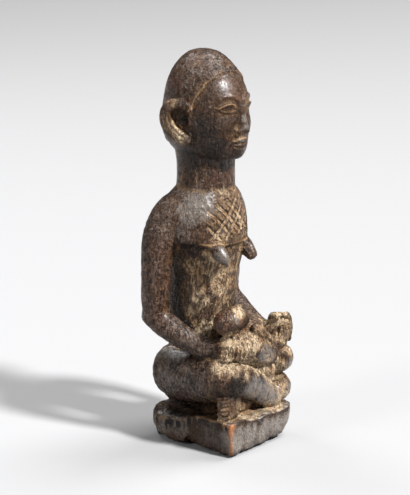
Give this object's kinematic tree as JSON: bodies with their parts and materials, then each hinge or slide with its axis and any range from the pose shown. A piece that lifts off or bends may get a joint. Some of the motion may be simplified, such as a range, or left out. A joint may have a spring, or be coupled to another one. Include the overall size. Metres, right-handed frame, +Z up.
{
  "type": "african maternity figure",
  "caption": "Seated woman with crossed legs holding a child across her lap, carved with a low square base from one block of dark wood.",
  "frame": {"origin": "middle of the base's flat underside", "axes": "+Z up through the seated figure, -Y the way the figure faces, +X towards the figure's left"},
  "size_m": [0.0955, 0.0864, 0.2728],
  "materials": {
    "dark_wood": "dark brown rubbed patina with ochre dust in the recesses and reddish wear on the ridges"
  },
  "bodies": {
    "root": {"maternity_figure": "dark_wood"}
  },
  "joints": []
}
